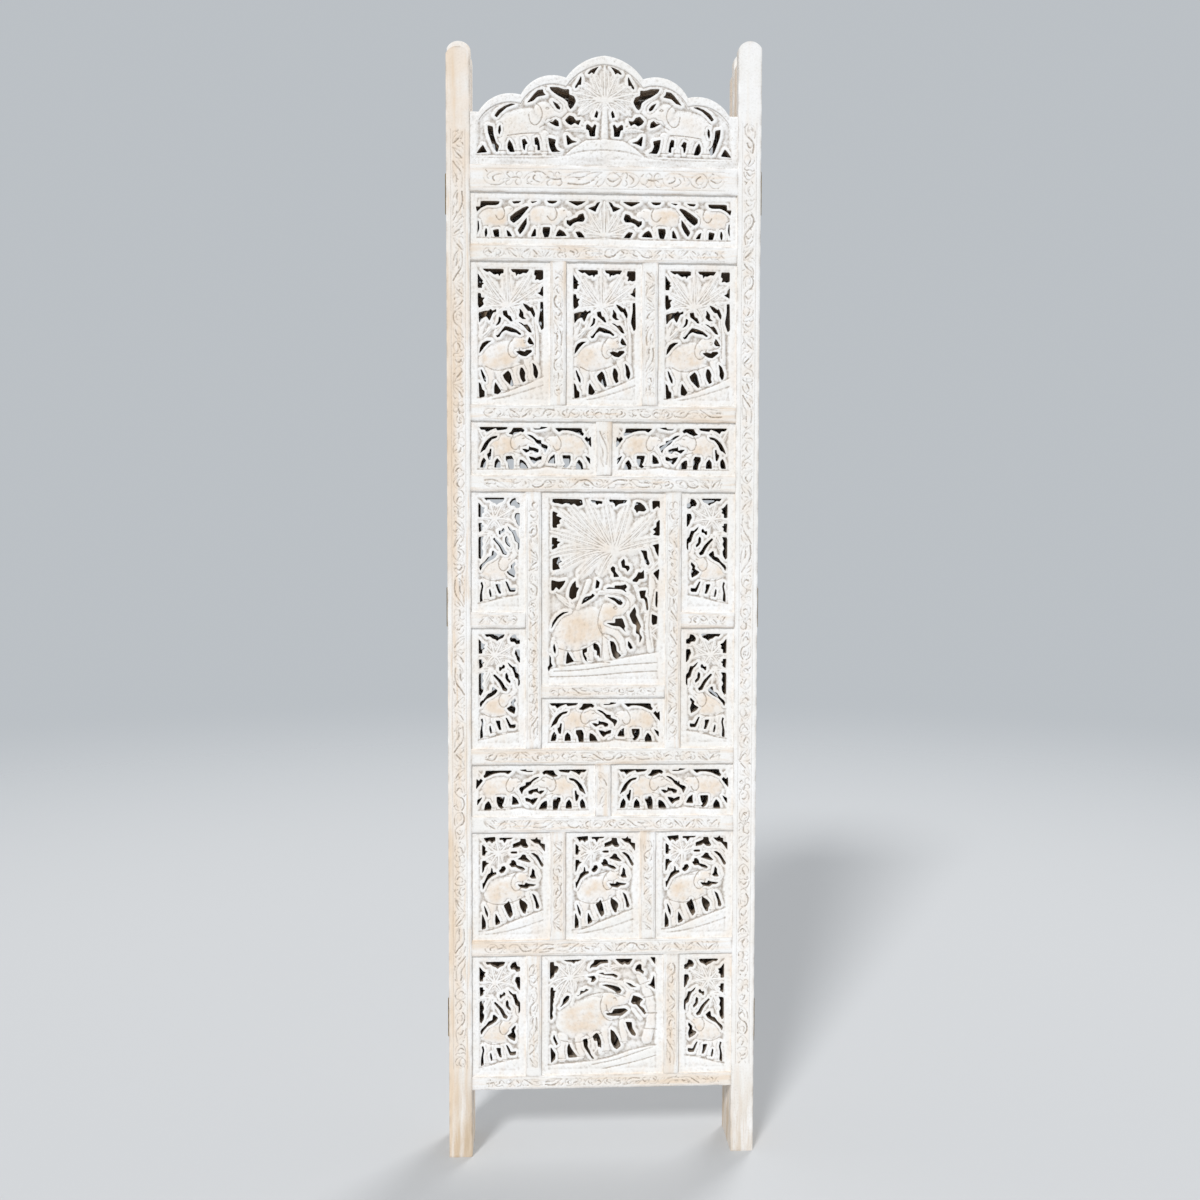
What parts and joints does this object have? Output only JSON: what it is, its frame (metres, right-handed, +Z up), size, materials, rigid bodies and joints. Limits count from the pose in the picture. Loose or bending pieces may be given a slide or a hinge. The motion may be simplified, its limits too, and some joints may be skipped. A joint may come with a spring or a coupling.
{
  "type": "folding screen",
  "caption": "Carved and pierced wooden folding screen of framed leaves with small animal panels and a lobed crest, hinged at the posts and folded flat.",
  "frame": {"origin": "on the floor under the middle of the folded stack", "axes": "+Z up, +X along the leaves to the right of someone who faces the front leaf, +Y from the front leaf to the back one"},
  "size_m": [0.518, 0.094, 1.829],
  "materials": {
    "whitewashed_wood": "worn whitewash over carved wood",
    "hinge_metal": "dull aged brass"
  },
  "bodies": {
    "leaf_1": {"leaf_1_left_post": "whitewashed_wood", "leaf_1_right_post": "whitewashed_wood", "leaf_1_crest_board": "whitewashed_wood", "leaf_1_rails": "whitewashed_wood", "leaf_1_short_rails": "whitewashed_wood", "leaf_1_mullions": "whitewashed_wood", "leaf_1_frieze_panel": "whitewashed_wood", "leaf_1_tall_panels": "whitewashed_wood", "leaf_1_pair_panels": "whitewashed_wood", "leaf_1_side_panels": "whitewashed_wood", "leaf_1_centre_panel": "whitewashed_wood", "leaf_1_lower_panels": "whitewashed_wood", "leaf_1_hinge_plates": "hinge_metal", "leaf_1_hinge_screws": "hinge_metal", "leaf_1_hinge_pins": "hinge_metal"},
    "leaf_2": {"leaf_2_left_post": "whitewashed_wood", "leaf_2_right_post": "whitewashed_wood", "leaf_2_crest_board": "whitewashed_wood", "leaf_2_rails": "whitewashed_wood", "leaf_2_short_rails": "whitewashed_wood", "leaf_2_mullions": "whitewashed_wood", "leaf_2_frieze_panel": "whitewashed_wood", "leaf_2_tall_panels": "whitewashed_wood", "leaf_2_pair_panels": "whitewashed_wood", "leaf_2_side_panels": "whitewashed_wood", "leaf_2_centre_panel": "whitewashed_wood", "leaf_2_lower_panels": "whitewashed_wood", "leaf_2_hinge_plates": "hinge_metal", "leaf_2_hinge_screws": "hinge_metal", "leaf_2_hinge_pins": "hinge_metal"},
    "leaf_3": {"leaf_3_left_post": "whitewashed_wood", "leaf_3_right_post": "whitewashed_wood", "leaf_3_crest_board": "whitewashed_wood", "leaf_3_rails": "whitewashed_wood", "leaf_3_short_rails": "whitewashed_wood", "leaf_3_mullions": "whitewashed_wood", "leaf_3_frieze_panel": "whitewashed_wood", "leaf_3_tall_panels": "whitewashed_wood", "leaf_3_pair_panels": "whitewashed_wood", "leaf_3_side_panels": "whitewashed_wood", "leaf_3_centre_panel": "whitewashed_wood", "leaf_3_lower_panels": "whitewashed_wood", "leaf_3_hinge_plates": "hinge_metal", "leaf_3_hinge_screws": "hinge_metal", "leaf_3_hinge_pins": "hinge_metal"},
    "leaf_4": {"leaf_4_left_post": "whitewashed_wood", "leaf_4_right_post": "whitewashed_wood", "leaf_4_crest_board": "whitewashed_wood", "leaf_4_rails": "whitewashed_wood", "leaf_4_short_rails": "whitewashed_wood", "leaf_4_mullions": "whitewashed_wood", "leaf_4_frieze_panel": "whitewashed_wood", "leaf_4_tall_panels": "whitewashed_wood", "leaf_4_pair_panels": "whitewashed_wood", "leaf_4_side_panels": "whitewashed_wood", "leaf_4_centre_panel": "whitewashed_wood", "leaf_4_lower_panels": "whitewashed_wood", "leaf_4_hinge_plates": "hinge_metal", "leaf_4_hinge_screws": "hinge_metal"}
  },
  "joints": [
    {"name": "fold_1_2", "type": "hinge", "parent": "leaf_1", "child": "leaf_2", "pos_m": [0.2565, -0.024, 0.9145], "axis": [0, 0, -1], "range_deg": [0, 180]},
    {"name": "fold_2_3", "type": "hinge", "parent": "leaf_2", "child": "leaf_3", "pos_m": [-0.2565, 0, 0.9145], "axis": [0, 0, 1], "range_deg": [0, 180]},
    {"name": "fold_3_4", "type": "hinge", "parent": "leaf_3", "child": "leaf_4", "pos_m": [0.2565, 0.024, 0.9145], "axis": [0, 0, -1], "range_deg": [0, 180]}
  ]
}
